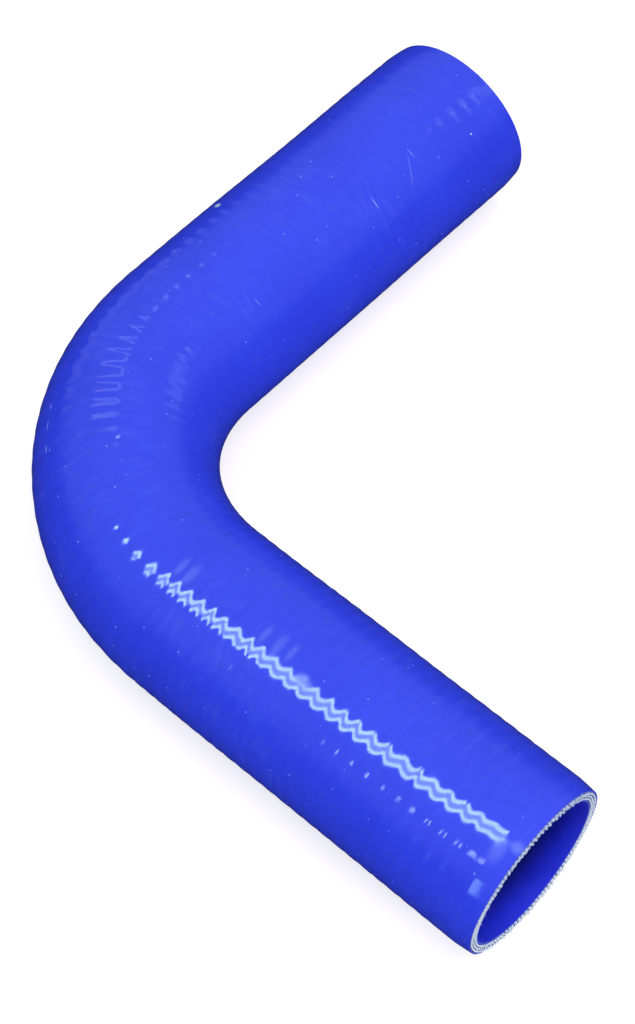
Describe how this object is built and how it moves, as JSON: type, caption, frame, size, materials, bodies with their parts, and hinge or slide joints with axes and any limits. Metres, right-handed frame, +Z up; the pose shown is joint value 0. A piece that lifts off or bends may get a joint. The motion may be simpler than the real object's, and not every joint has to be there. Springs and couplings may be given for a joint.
{
  "type": "elbow hose",
  "caption": "Right-angle elbow hose of fabric-reinforced silicone rubber, with a plain round bore and two equal straight legs cut square.",
  "frame": {"origin": "on the floor, under the middle of the box round the hose as it lies flat", "axes": "+X out of the near leg's cut end, +Y out of the far leg's cut end, +Z up from the floor, square to the plane of the bend"},
  "size_m": [0.1784, 0.1784, 0.045],
  "materials": {
    "silicone": "glossy blue silicone rubber with shallow tape-wrap marks, white fabric plies showing on the cut ends"
  },
  "bodies": {
    "root": {"elbow_hose": "silicone"}
  },
  "joints": []
}
